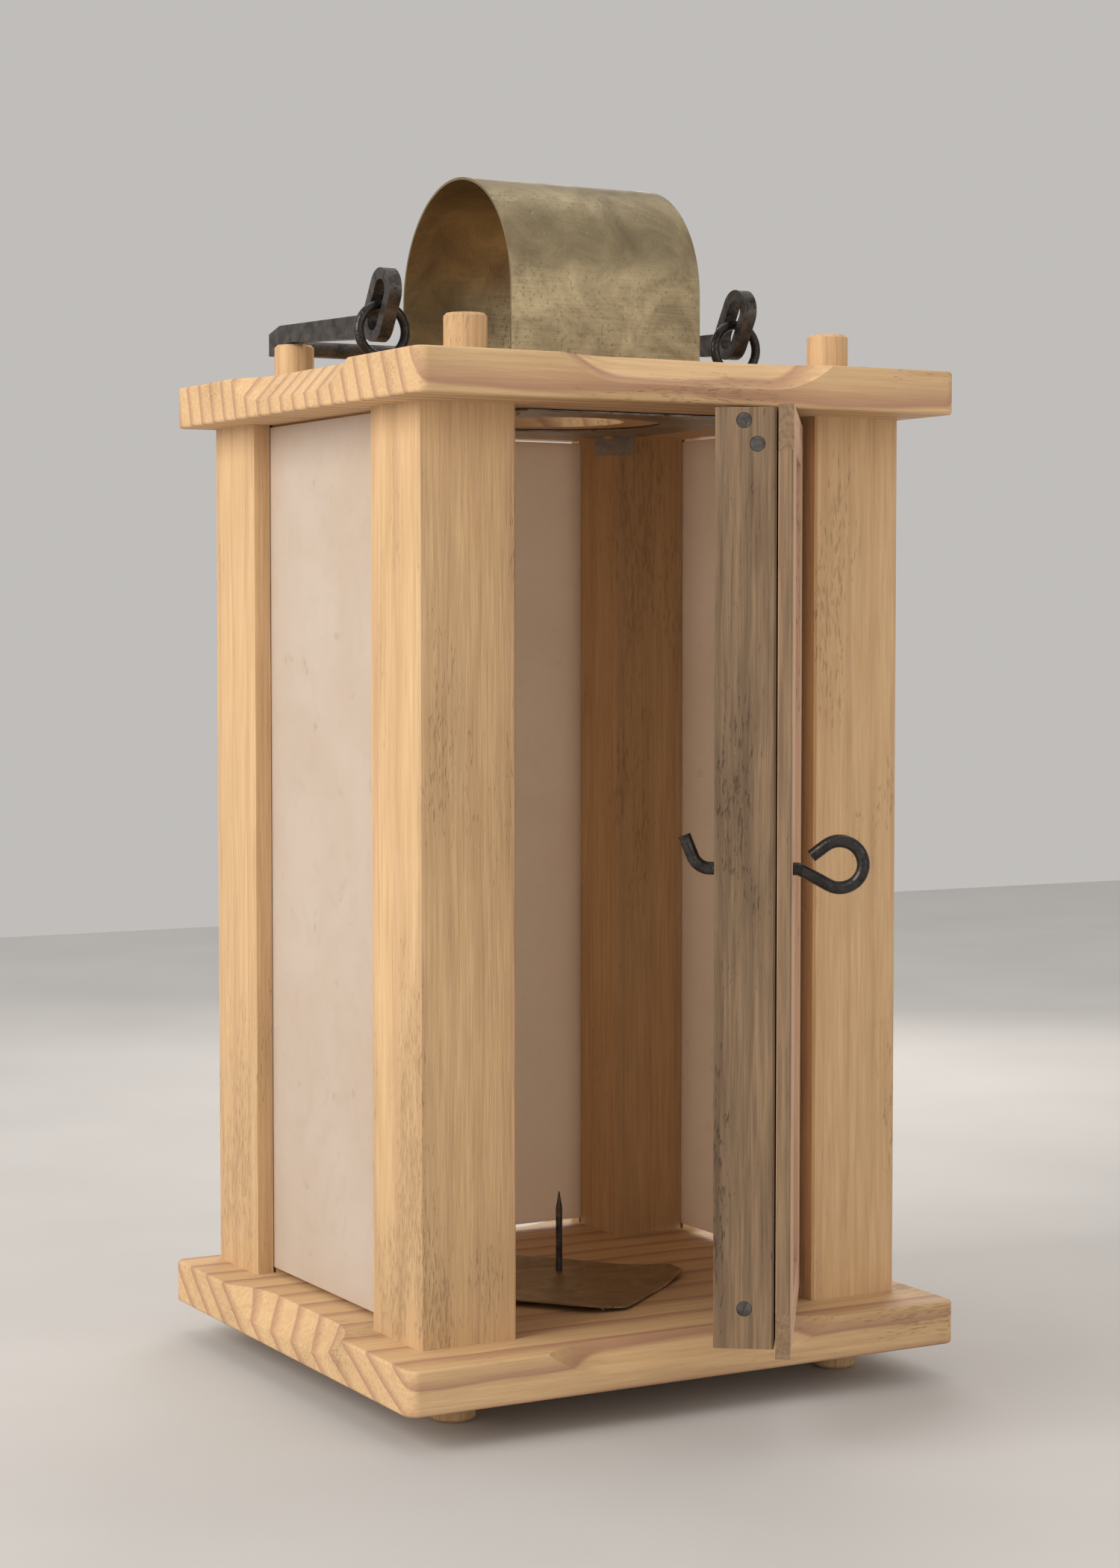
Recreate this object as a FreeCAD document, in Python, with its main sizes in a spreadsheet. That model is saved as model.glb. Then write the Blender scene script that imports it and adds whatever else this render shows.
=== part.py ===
# A rustic wooden candle lantern: two boards, four posts, parchment panes, a hinged door,
# a brass heat hood and an iron carrying bail.
#
# Frame: origin on the ground under the middle of the overall box with the door half open, +X right,
# +Y to the back, +Z up. The door is at the front and stands half open, and the bail
# lies folded back on the rear dowels. Lengths are in millimetres, angles in degrees.

import FreeCAD, Part, Sketcher
import math
import os
import re

from FreeCAD import Placement, Rotation, Vector

os.makedirs("parts", exist_ok=True)
doc = FreeCAD.newDocument("candle_lantern")

# ---------------------------------------------------------------- driving dimensions

SIZES = {
    # the two boards
    "base_width": 178.0,
    "base_depth": 165.0,
    "base_thickness": 12.6,
    "base_shift_y": 29.7,
    "top_width": 172.0,
    "top_depth": 166.0,
    "top_thickness": 12.3,
    "top_shift_x": -2.2,
    "top_shift_y": 25.7,
    "corner_radius": 3.5,
    "arris_radius": 0.9,
    # the carved chamfers along the boards' upper edges
    "carve_depth": 5.4,
    "carve_runout_radius": 43.6,
    "carve_stop": 42.0,
    "carve_overrun": 1.0,
    # the posts' outer faces, measured from the origin
    "post_height": 257.1,
    "post_face_left": 75.9,
    "post_face_right": 80.5,
    "post_face_front": 33.3,
    "post_face_rear": 107.2,
    "front_left_width": 29.8,
    "front_left_depth": 30.0,
    "front_right_width": 28.8,
    "front_right_depth": 29.0,
    "rear_left_width": 28.8,
    "rear_left_depth": 28.5,
    "rear_right_width": 31.0,
    "rear_right_depth": 30.3,
    "post_arris": 0.7,
    # the dowels that join boards and posts
    "dowel_radius": 6.0,
    "dowel_projection": 12.6,
    "foot_radius": 6.5,
    "foot_height": 10.0,
    "dowel_depth": 20.0,
    "dowel_arris": 0.8,
    "seat_gap": 0.05,
    "cut_past": 1.0,
    "fuse_lap": 0.1,
    "top_front_left_dx": 5.0,
    "top_front_left_dy": -4.0,
    "top_front_right_dx": -0.5,
    "top_front_right_dy": 0.5,
    "top_rear_left_dx": 2.9,
    "top_rear_left_dy": -6.75,
    "top_rear_right_dx": -6.0,
    "top_rear_right_dy": -5.85,
    "foot_offset_x": 0.4,
    "foot_offset_y": -4.0,
    # the parchment panes in the posts' grooves
    "pane_thickness": 0.5,
    "pane_inset": 6.0,
    "pane_foot_gap": 1.8,
    "pane_head_gap": 0.8,
    "groove_width": 1.1,
    "groove_depth": 5.0,
    "groove_end_gap": 0.3,
    # the brass hood over the vent
    "hood_length": 62.0,
    "hood_width": 69.0,
    "hood_leg": 22.5,
    "hood_sheet": 0.7,
    "hood_shift_x": -1.3,
    "hood_foot": 7.0,
    "vent_radius": 21.0,
    # the tin shield under the top board
    "shield_width": 94.0,
    "shield_depth": 96.0,
    "shield_sheet": 0.5,
    "shield_hole_radius": 32.0,
    "shield_gap": 0.3,
    "shield_shift_x": 4.0,
    "shield_shift_y": 0.5,
    "shield_tab": 6.0,
    "shield_corner": 9.0,
    # small tacks
    "tack_shank_radius": 0.7,
    "tack_head_radius": 2.0,
    "tack_head_height": 0.8,
    "tack_length": 7.0,
    "tack_edge": 7.0,
    "tack_tip_room": 0.5,
    # candle tray and spike
    "tray_side": 64.0,
    "tray_sheet": 0.6,
    "tray_corner": 7.4,
    "tray_turn_angle": 39.1,
    "tray_shift_x": -3.5,
    "tray_shift_y": 22.2,
    "tray_tack_inset": 6.7,
    "spike_radius": 1.0,
    "spike_tip_radius": 0.17,
    "spike_height": 25.0,
    "spike_point": 5.0,
    "spike_depth": 9.0,
    "spike_offset_x": 9.5,
    "spike_offset_y": 14.5,
    # the eyes that hold the bail
    "eye_spread": 119.0,
    "eye_shift_x": 1.7,
    "eye_shift_y": -4.0,
    "eye_radius": 7.35,
    "eye_wire_radius": 1.4,
    "eye_clearance": 2.7,
    "eye_depth": 10.0,
    # the bail
    "loop_length": 22.0,
    "loop_width": 13.0,
    "loop_bar": 3.2,
    "bail_bar": 4.0,
    "loop_tilt_angle": 32.0,
    "arm_overlap": 0.6,
    "arm_height": 5.7,
    "arm_root_height": 6.9,
    "arm_root_drop": 5.6,
    "arm_bevel": 2.0,
    "arm_bevel_length": 8.0,
    "bail_rest_gap": 0.4,
    "grip_radius": 2.5,
    "grip_drop": 3.35,
    # the door
    "door_width": 96.0,
    "door_open_angle": 55.0,
    "door_proud": 2.7,
    "door_side_gap": 0.7,
    "hinge_inset": 9.0,
    "hinge_depth": 6.0,
    "stile_width": 26.0,
    "stile_thickness": 16.0,
    "face_thickness": 4.0,
    "door_foot_gap": 7.0,
    "door_head_gap": 3.8,
    "face_below": 2.6,
    "face_above": 0.8,
    "inner_rail_height": 18.0,
    "face_rail_height": 12.0,
    "door_edge_radius": 3.9,
    "door_arris": 0.6,
    "door_pane_thickness": 0.4,
    "door_pane_lap": 6.0,
    "pin_radius": 1.25,
    "pin_depth": 20.0,
    "pin_end_room": 0.5,
    "pin_head_radius": 3.2,
    "pin_head_height": 1.0,
    "running_gap": 0.08,
    # nails in the door's free edge
    "nail_radius": 1.0,
    "nail_head_radius": 1.95,
    "nail_head_height": 0.9,
    "nail_length": 38.0,
    "nail_sink": 0.2,
    "nail_head_gap": 0.1,
    "nail_upper_drop": 3.4,
    "nail_upper_in": 7.5,
    "nail_lower_drop": 9.5,
    "nail_lower_in": 11.0,
    "nail_bottom_rise": 10.6,
    "nail_bottom_in": 8.2,
    # the latch wire
    "latch_wire_radius": 1.7,
    "latch_edge": 6.0,
    "latch_height": 126.1,
    "latch_eye_radius": 6.15,
    "latch_eye_reach": 12.2,
    "latch_eye_rise": 1.3,
    "latch_neck": 1.6,
    "latch_neck_bend": 2.0,
    "latch_end_reach": 4.8,
    "latch_end_rise": 3.4,
    "hook_straight": 1.3,
    "hook_bend_radius": 5.0,
    "hook_bend_angle": 68.0,
    "hook_tip": 6.0,
    "catch_depth": 4.0,
    "catch_margin": 1.2,
}

sheet = doc.addObject("Spreadsheet::Sheet", "Sizes")
for row, (alias, number) in enumerate(SIZES.items(), start=1):
    sheet.set("A%d" % row, alias)
    sheet.set("B%d" % row, str(number))
    sheet.setAlias("B%d" % row, alias)
doc.recompute()


def size(alias):
    """The number in the cell of that alias."""
    return float(sheet.get(alias))


def bind(item, prop, text):
    """Bind a property to an expression in which the sheet's aliases stand as plain words."""
    words = re.sub(r"[a-z][a-z_]+",
        lambda m: "Sizes." + m.group(0) if m.group(0) in SIZES else m.group(0), text)
    item.setExpression(prop, words)


# ---------------------------------------------------------------- places that pieces share

BASE_TOP = "(foot_height + base_thickness)"
TOP_UNDER = "(foot_height + base_thickness + post_height)"
TOP_FACE = "(foot_height + base_thickness + post_height + top_thickness)"
GROOVE_PAD = "(groove_width - pane_thickness) / 2"
HINGE_X = "(post_face_right - front_right_width - door_side_gap - hinge_inset)"
HINGE_Y = "(hinge_depth - post_face_front - door_proud)"
DOOR_FOOT = "(foot_height + base_thickness + door_foot_gap)"
DOOR_HEAD = "(foot_height + base_thickness + post_height - door_head_gap)"
DOOR_HEIGHT = "(post_height - door_foot_gap - door_head_gap)"
FREE_EDGE = "(hinge_inset - door_width)"
INNER_FACE = "(face_thickness + door_pane_thickness + stile_thickness - hinge_depth)"
STILE_FACE = "(face_thickness + door_pane_thickness - hinge_depth)"
LATCH_X = "(hinge_inset - door_width + latch_edge)"
LATCH_Z = "(foot_height + base_thickness + door_foot_gap + latch_height)"

base_top = size("foot_height") + size("base_thickness")
top_under = base_top + size("post_height")
top_face = top_under + size("top_thickness")

# each post: the side its outer faces are on, its width and its depth
POSTS = {
    "front_left": (-1, -1),
    "front_right": (1, -1),
    "rear_left": (-1, 1),
    "rear_right": (1, 1),
}


def post_low_x(place):
    """Expression for the lowest X of a post."""
    if POSTS[place][0] < 0:
        return "(-post_face_left)"
    return "(post_face_right - %s_width)" % place


def post_low_y(place):
    """Expression for the lowest Y of a post."""
    if POSTS[place][1] < 0:
        return "(-post_face_front)"
    return "(post_face_rear - %s_depth)" % place


def post_middle(place):
    """Expressions for the middle of a post in X and Y."""
    return ("(%s + %s_width / 2)" % (post_low_x(place), place),
        "(%s + %s_depth / 2)" % (post_low_y(place), place))


def top_dowel_middle(place):
    """Where the dowel of a post comes through the top board."""
    middle = post_middle(place)
    return ("(%s + top_%s_dx)" % (middle[0], place), "(%s + top_%s_dy)" % (middle[1], place))


def foot_middle(place):
    """Where the dowel of a post comes through the base board as a foot."""
    middle = post_middle(place)
    return ("(%s + foot_offset_x)" % middle[0], "(%s + foot_offset_y * %d)" % (middle[1], -POSTS[place][1]))


# ---------------------------------------------------------------- helpers

parts = {}

ALONG_X = Rotation(Vector(0, 1, 0), 90)
ALONG_Y = Rotation(Vector(1, 0, 0), -90)
DOWN = Rotation(Vector(1, 0, 0), 180)


def new_body(name):
    body = doc.addObject("PartDesign::Body", name)
    body.Label = name
    return body


def place_feature(item, at, turn):
    item.Placement = Placement(Vector(), turn)
    for axis, text in zip("xyz", at):
        bind(item, "Placement.Base." + axis, text)


def box(body, kind, name, low, extent):
    """An additive or subtractive box from its low corner and its extent."""
    item = body.newObject("PartDesign::%sBox" % kind, name)
    for prop, text in zip(("Length", "Width", "Height"), extent):
        bind(item, prop, text)
    place_feature(item, low, Rotation())
    return item


def rod(body, kind, name, start, radius, length, turn=Rotation()):
    """An additive or subtractive cylinder from the middle of its first end."""
    item = body.newObject("PartDesign::%sCylinder" % kind, name)
    bind(item, "Radius", radius)
    bind(item, "Height", length)
    if isinstance(start, Vector):
        item.Placement = Placement(start, turn)
    else:
        place_feature(item, start, turn)
    return item


def ease(body, kind, name, base, edges, amount):
    """A fillet or a chamfer on the chosen edges of the last feature."""
    doc.recompute()
    names = ["Edge%d" % (i + 1) for i, edge in enumerate(base.Shape.Edges) if edges(edge)]
    item = body.newObject("PartDesign::" + kind, name)
    item.Base = (base, names)
    bind(item, "Radius" if kind == "Fillet" else "Size", amount)
    return item


def upright(edge):
    """True for an edge that runs along Z."""
    ends = [vertex.Point for vertex in edge.Vertexes]
    return len(ends) == 2 and abs(ends[0].z - ends[1].z) > 0.999 * edge.Length


def level(edge):
    """True for an edge that lies in a plane of constant Z."""
    return edge.BoundBox.ZLength < 1e-6


def keep(name, item):
    """Count an object as a sub-part of the lantern."""
    item.Label = name
    parts[name] = item
    return item


def group(name, items):
    """Identical pieces that share one node as separate solids."""
    compound = doc.addObject("Part::Compound", name)
    compound.Links = items
    return keep(name, compound)


def door_frame(item):
    """Put a piece drawn in the closed door's frame at the hinge, turned to where the door stands."""
    item.Placement = Placement(Vector(), Rotation(Vector(0, 0, 1), 1))
    bind(item, "Placement.Base.x", HINGE_X)
    bind(item, "Placement.Base.y", HINGE_Y)
    bind(item, "Placement.Rotation.Angle", "door_open_angle")


# ---------------------------------------------------------------- boards

RISE = math.sqrt(0.5)


def carve(body, name, edge_length, middle, along, outward):
    """A stopped chamfer: a flat along an upper edge that runs out in an arc at both ends."""
    sketch = body.newObject("Sketcher::SketchObject", name + "_profile")
    plane = [item for item in body.Origin.OriginFeatures if item.Role == "XY_Plane"][0]
    sketch.AttachmentSupport = [(plane, "")]
    sketch.MapMode = "FlatFace"
    up = outward * RISE + Vector(0, 0, RISE)
    sketch.AttachmentOffset = Placement(Vector(), Rotation(along, up, along.cross(up), "XYZ"))
    for axis, text in zip("xyz", middle):
        bind(sketch, "AttachmentOffset.Base." + axis, text)
    depth = size("carve_depth")
    radius = size("carve_runout_radius")
    over = size("carve_overrun")
    sweep = math.acos(1 - (depth + over) / radius)
    half = radius
    low = -math.pi / 2
    flat = Part.LineSegment(Vector(-half, -depth, 0), Vector(half, -depth, 0))
    right = Part.ArcOfCircle(
        Part.Circle(Vector(half, radius - depth, 0), Vector(0, 0, 1), radius), low, low + sweep)
    left = Part.ArcOfCircle(
        Part.Circle(Vector(-half, radius - depth, 0), Vector(0, 0, 1), radius), low - sweep, low)
    reach = half + radius * math.sin(sweep)
    lid = Part.LineSegment(Vector(reach, over, 0), Vector(-reach, over, 0))
    sketch.addGeometry([flat, right, lid, left])
    start, end = 1, 2
    origin = -1
    upright_axis = -2
    rules = [
        Sketcher.Constraint("Tangent", 0, end, 1, start),
        Sketcher.Constraint("Coincident", 1, end, 2, start),
        Sketcher.Constraint("Coincident", 2, end, 3, start),
        Sketcher.Constraint("Tangent", 3, end, 0, start),
        Sketcher.Constraint("Horizontal", 2),
        Sketcher.Constraint("Symmetric", 0, start, 0, end, upright_axis),
        Sketcher.Constraint("Equal", 1, 3),
    ]
    sketch.addConstraint(rules)
    measures = [
        (Sketcher.Constraint("Radius", 1, radius), "carve_runout_radius"),
        (Sketcher.Constraint("DistanceY", 0, start, origin, start, depth), "carve_depth"),
        (Sketcher.Constraint("DistanceY", origin, start, 2, start, over), "carve_overrun"),
        (Sketcher.Constraint("DistanceX", 0, start, 0, end, 2 * half),
         "%s - 2 * (carve_stop + sqrt(2 * carve_runout_radius * carve_depth - carve_depth ^ 2))" % edge_length),
    ]
    for rule, text in measures:
        number = sketch.addConstraint(rule)
        bind(sketch, "Constraints[%d]" % number, text)
    doc.recompute()
    before = body.Tip.Shape.Volume
    pocket = body.newObject("PartDesign::Pocket", name)
    pocket.Profile = sketch
    pocket.Type = "ThroughAll"
    pocket.SideType = "Symmetric"
    doc.recompute()
    if pocket.Shape.Volume >= before:
        raise RuntimeError(name + " cuts nothing")
    return pocket


def board(name, width, depth, thickness, middle_x, middle_y, under):
    """A board with rounded corners, eased arrises and a carved chamfer along each upper edge."""
    body = new_body(name)
    low = ("%s - %s / 2" % (middle_x, width), "%s - %s / 2" % (middle_y, depth), under)
    blank = box(body, "Additive", name + "_blank", low, (width, depth, thickness))
    corners = ease(body, "Fillet", name + "_corners", blank, upright, "corner_radius")
    ease(body, "Fillet", name + "_arrises", corners, level, "arris_radius")
    top = "%s + %s" % (under, thickness)
    sides = [
        ("front", width, (middle_x, "%s - %s / 2" % (middle_y, depth), top), Vector(1, 0, 0), Vector(0,
            -1, 0)),
        ("rear", width, (middle_x, "%s + %s / 2" % (middle_y, depth), top), Vector(1, 0, 0), Vector(0, 1,
            0)),
        ("left", depth, ("%s - %s / 2" % (middle_x, width), middle_y, top), Vector(0, 1, 0), Vector(-1, 0,
            0)),
        ("right", depth, ("%s + %s / 2" % (middle_x, width), middle_y, top), Vector(0, 1, 0), Vector(1, 0,
            0)),
    ]
    for side, length, middle, along, outward in sides:
        carve(body, "%s_carve_%s" % (name, side), length, middle, along, outward)
    return body


base_board = board("base_board", "base_width", "base_depth", "base_thickness", "0", "base_shift_y",
    "foot_height")
top_board = board("top_board", "top_width", "top_depth", "top_thickness", "top_shift_x", "top_shift_y",
    TOP_UNDER)

for place in POSTS:
    x, y = foot_middle(place)
    rod(base_board, "Subtractive", "foot_hole_" + place, (x, y, "foot_height - cut_past"),
        "foot_radius + seat_gap", "base_thickness + 2 * cut_past")
    x, y = top_dowel_middle(place)
    rod(top_board, "Subtractive", "dowel_hole_" + place, (x, y, TOP_UNDER + " - cut_past"),
        "dowel_radius + seat_gap", "top_thickness + 2 * cut_past")

# the vent, the hinge pins' holes and the holes for the bail's eyes
rod(top_board, "Subtractive", "vent", ("top_shift_x", "top_shift_y", TOP_UNDER + " - cut_past"),
    "vent_radius", "top_thickness + 2 * cut_past")
rod(top_board, "Subtractive", "upper_pin_hole", (HINGE_X, HINGE_Y, TOP_UNDER + " - cut_past"),
    "pin_radius + seat_gap", "top_thickness + 2 * cut_past")
rod(base_board, "Subtractive", "lower_pin_hole", (HINGE_X, HINGE_Y, "foot_height - cut_past"),
    "pin_radius + seat_gap", "base_thickness + 2 * cut_past")

EYE_Y = "(top_shift_y + eye_shift_y)"
EYES = {"left": "(top_shift_x + eye_shift_x - eye_spread / 2)",
        "right": "(top_shift_x + eye_shift_x + eye_spread / 2)"}
for side, x in EYES.items():
    rod(top_board, "Subtractive", "eye_hole_" + side, (x, EYE_Y, TOP_FACE + " - eye_depth"),
        "eye_wire_radius + seat_gap", "eye_depth + cut_past")


# ---------------------------------------------------------------- posts and dowels

LEFT_PANE_X = "(pane_inset - post_face_left)"
RIGHT_PANE_X = "(post_face_right - pane_inset - pane_thickness)"
REAR_PANE_Y = "(post_face_rear - pane_inset - pane_thickness)"


def groove(body, name, low_x, low_y, extent_x, extent_y):
    box(body, "Subtractive", name, (low_x, low_y, BASE_TOP + " - cut_past"), (extent_x, extent_y,
        "post_height + 2 * cut_past"))


for place in POSTS:
    name = "post_" + place
    body = new_body(name)
    low_x = post_low_x(place)
    low_y = post_low_y(place)
    width = place + "_width"
    depth = place + "_depth"
    lath = box(body, "Additive", name + "_lath", (low_x, low_y, BASE_TOP), (width, depth, "post_height"))
    ease(body, "Chamfer", name + "_arrises", lath, upright, "post_arris")
    side, end = POSTS[place]
    pane_x = LEFT_PANE_X if side < 0 else RIGHT_PANE_X
    groove_y = "%s + %s - groove_depth" % (low_y, depth) if end < 0 else "%s - cut_past" % low_y
    groove(body, name + "_side_groove", "%s - %s" % (pane_x, GROOVE_PAD), groove_y, "groove_width",
        "groove_depth + cut_past")
    if end > 0:
        groove_x = "%s + %s - groove_depth" % (low_x, width) if side < 0 else "%s - cut_past" % low_x
        groove(body, name + "_rear_groove", groove_x, "%s - %s" % (REAR_PANE_Y, GROOVE_PAD),
               "groove_depth + cut_past", "groove_width")
    x, y = foot_middle(place)
    rod(body, "Subtractive", name + "_foot_socket", (x, y, BASE_TOP + " - cut_past"),
        "foot_radius + seat_gap", "dowel_depth + cut_past + seat_gap")
    x, y = top_dowel_middle(place)
    rod(body, "Subtractive", name + "_dowel_socket", (x, y, TOP_UNDER + " + cut_past"),
        "dowel_radius + seat_gap", "dowel_depth + cut_past + seat_gap", DOWN)
    keep(name, body)

# the notch in the front left post's inner rear arris, where the latch hook turns in
HOOK_RISE = "(hook_bend_radius * (1 - cos(hook_bend_angle * 1 deg)) + hook_tip * sin(hook_bend_angle * 1 deg) + latch_wire_radius)"
catch_low_y = "(%s + %s)" % (HINGE_Y, INNER_FACE)
box(parts["post_front_left"], "Subtractive", "catch_notch",
    ("front_left_width - post_face_left - catch_depth", catch_low_y, "%s - %s - catch_margin" % (LATCH_Z,
        HOOK_RISE)),
    ("catch_depth + cut_past", "-post_face_front + front_left_depth - %s + cut_past" % catch_low_y,
     "2 * (%s + catch_margin)" % HOOK_RISE))

dowels = []
feet = []
for place in POSTS:
    for kind, radius, length, start, (x, y), items in (
            ("dowel", "dowel_radius", "dowel_depth + top_thickness + dowel_projection",
             TOP_UNDER + " - dowel_depth", top_dowel_middle(place), dowels),
            ("foot", "foot_radius", "foot_height + base_thickness + dowel_depth", "0", foot_middle(place),
                feet)):
        body = new_body("%s_%s" % (kind, place))
        peg = rod(body, "Additive", "%s_peg_%s" % (kind, place), (x, y, start), radius, length)
        ease(body, "Chamfer", "%s_arris_%s" % (kind, place), peg, level, "dowel_arris")
        items.append(body)
group("top_dowels", dowels)
group("foot_dowels", feet)


# ---------------------------------------------------------------- parchment panes

def pane(name, low_x, low_y, extent_x, extent_y):
    body = new_body(name)
    box(body, "Additive", name + "_sheet", (low_x, low_y, BASE_TOP + " + pane_foot_gap"),
        (extent_x, extent_y, "post_height - pane_foot_gap - pane_head_gap"))
    keep(name, body)


for side, low_x in (("left", LEFT_PANE_X), ("right", RIGHT_PANE_X)):
    front_edge = "(-post_face_front + front_%s_depth - groove_depth + groove_end_gap)" % side
    rear_edge = "(post_face_rear - rear_%s_depth + groove_depth - groove_end_gap)" % side
    pane("pane_" + side, low_x, front_edge, "pane_thickness", "%s - %s" % (rear_edge, front_edge))
left_edge = "(-post_face_left + rear_left_width - groove_depth + groove_end_gap)"
right_edge = "(post_face_right - rear_right_width + groove_depth - groove_end_gap)"
pane("pane_rear", left_edge, REAR_PANE_Y, "%s - %s" % (right_edge, left_edge), "pane_thickness")


# ---------------------------------------------------------------- small tacks

def tack(name, place):
    """A tack whose shank runs along -Z of its placement from the head's seat."""
    body = new_body(name)
    rod(body, "Additive", name + "_shank", ("0", "0", "-tack_length"), "tack_shank_radius",
        "tack_length + fuse_lap")
    head = rod(body, "Additive", name + "_head", ("0", "0", "0"), "tack_head_radius", "tack_head_height")
    ease(body, "Chamfer", name + "_crown", head,
         lambda edge: level(edge) and edge.BoundBox.ZMin > size("tack_head_height") - 1e-6, "tack_head_height / 2")
    body.Placement = place
    return body


def tack_hole(body, name, x, y, z, turn):
    """The hole that a tack's shank sits in, from a little above its mouth."""
    away = turn.multVec(Vector(0, 0, 1))
    start = Vector(x, y, z) - away * (size("tack_length") + size("tack_tip_room"))
    rod(body, "Subtractive", name, start, "tack_shank_radius + seat_gap", "tack_length + 2 * cut_past",
        turn)


# ---------------------------------------------------------------- hood

hood_x = "(top_shift_x + hood_shift_x - hood_length / 2)"
hood_mid = "top_shift_y"
hood_crown = TOP_FACE + " + hood_leg"
hood = new_body("heat_hood")
box(hood, "Additive", "hood_legs", (hood_x, hood_mid + " - hood_width / 2", TOP_FACE),
    ("hood_length", "hood_width", "hood_leg"))
rod(hood, "Additive", "hood_arch", (hood_x, hood_mid, hood_crown), "hood_width / 2", "hood_length", ALONG_X)
box(hood, "Subtractive", "hood_inside_legs",
    (hood_x + " - cut_past", hood_mid + " - hood_width / 2 + hood_sheet", TOP_FACE + " - cut_past"),
    ("hood_length + 2 * cut_past", "hood_width - 2 * hood_sheet", "hood_leg + cut_past"))
rod(hood, "Subtractive", "hood_inside_arch", (hood_x + " - cut_past", hood_mid, hood_crown),
    "hood_width / 2 - hood_sheet", "hood_length + 2 * cut_past", ALONG_X)
box(hood, "Subtractive", "hood_below", (hood_x + " - cut_past", hood_mid + " - hood_width / 2 - cut_past",
    TOP_FACE + " - hood_width / 2"),
    ("hood_length + 2 * cut_past", "hood_width + 2 * cut_past", "hood_width / 2"))
box(hood, "Additive", "hood_front_foot", (hood_x, hood_mid + " - hood_width / 2 - hood_foot", TOP_FACE),
    ("hood_length", "hood_foot + hood_sheet", "hood_sheet"))
box(hood, "Additive", "hood_rear_foot", (hood_x, hood_mid + " + hood_width / 2 - hood_sheet", TOP_FACE),
    ("hood_length", "hood_foot + hood_sheet", "hood_sheet"))

hood_tacks = []
hood_middle = size("top_shift_x") + size("hood_shift_x")
for index, (side, end) in enumerate(POSTS.values()):
    x = hood_middle + side * (size("hood_length") / 2 - size("tack_edge"))
    y = size("top_shift_y") + end * (size("hood_width") / 2 + size("hood_foot") / 2)
    tack_hole(hood, "hood_tack_hole_%d" % index, x, y, top_face, Rotation())
    tack_hole(top_board, "board_hood_tack_hole_%d" % index, x, y, top_face, Rotation())
    seat = Vector(x, y, top_face + size("hood_sheet"))
    hood_tacks.append(tack("hood_tack_%d" % index, Placement(seat, Rotation())))
keep("heat_hood", hood)
group("hood_tacks", hood_tacks)


# ---------------------------------------------------------------- tin shield

shield = new_body("heat_shield")
shield_x = "(top_shift_x + shield_shift_x - shield_width / 2)"
shield_y = "(top_shift_y + shield_shift_y - shield_depth / 2)"
shield_z = TOP_UNDER + " - shield_gap - shield_sheet"
sheet_blank = box(shield, "Additive", "shield_sheet_blank", (shield_x, shield_y, shield_z),
                  ("shield_width", "shield_depth", "shield_sheet"))
ease(shield, "Chamfer", "shield_corners", sheet_blank, upright, "shield_corner")
rod(shield, "Subtractive", "shield_hole", ("top_shift_x", "top_shift_y", shield_z + " - cut_past"),
    "shield_hole_radius", "shield_sheet + 2 * cut_past")
# the rear right corner is folded down against the post
fold = shield.newObject("PartDesign::AdditiveBox", "shield_folded_corner")
bind(fold, "Length", "shield_corner * sqrt(2)")
bind(fold, "Width", "shield_sheet")
bind(fold, "Height", "shield_tab")
place_feature(fold, (shield_x + " + shield_width - shield_corner - shield_sheet * sqrt(2) / 2",
                     shield_y + " + shield_depth - shield_sheet * sqrt(2) / 2",
                     shield_z + " + shield_sheet - shield_tab"),
              Rotation(Vector(0, 0, 1), -45))

shield_tacks = []
shield_mid_x = size("top_shift_x") + size("shield_shift_x")
shield_mid_y = size("top_shift_y") + size("shield_shift_y")
for index, (side, end) in enumerate(POSTS.values()):
    x = shield_mid_x + side * (size("shield_width") / 2 - size("shield_corner"))
    y = shield_mid_y + end * (size("shield_depth") / 2 - size("shield_corner"))
    tack_hole(shield, "shield_tack_hole_%d" % index, x, y, top_under, DOWN)
    tack_hole(top_board, "board_shield_tack_hole_%d" % index, x, y, top_under, DOWN)
    seat = Vector(x, y, top_under - size("shield_gap") - size("shield_sheet"))
    shield_tacks.append(tack("shield_tack_%d" % index, Placement(seat, DOWN)))
keep("heat_shield", shield)
group("shield_tacks", shield_tacks)


# ---------------------------------------------------------------- candle tray and spike

TRAY_TURN = Rotation(Vector(0, 0, 1), size("tray_turn_angle"))
tray_middle = Vector(size("tray_shift_x"), size("tray_shift_y"), base_top)
tray = new_body("candle_tray")
tray_blank = box(tray, "Additive", "tray_blank", ("-tray_side / 2", "-tray_side / 2", "0"),
                 ("tray_side", "tray_side", "tray_sheet"))
ease(tray, "Chamfer", "tray_corners", tray_blank, upright, "tray_corner")
tray.Placement = Placement(tray_middle, TRAY_TURN)
spike_at = Vector(size("spike_offset_x"), size("spike_offset_y"), 0)
spike_in_tray = TRAY_TURN.inverted().multVec(spike_at)
rod(tray, "Subtractive", "tray_spike_hole", spike_in_tray - Vector(0, 0, 1),
    "spike_radius + seat_gap", "tray_sheet + 2 * cut_past")

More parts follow.
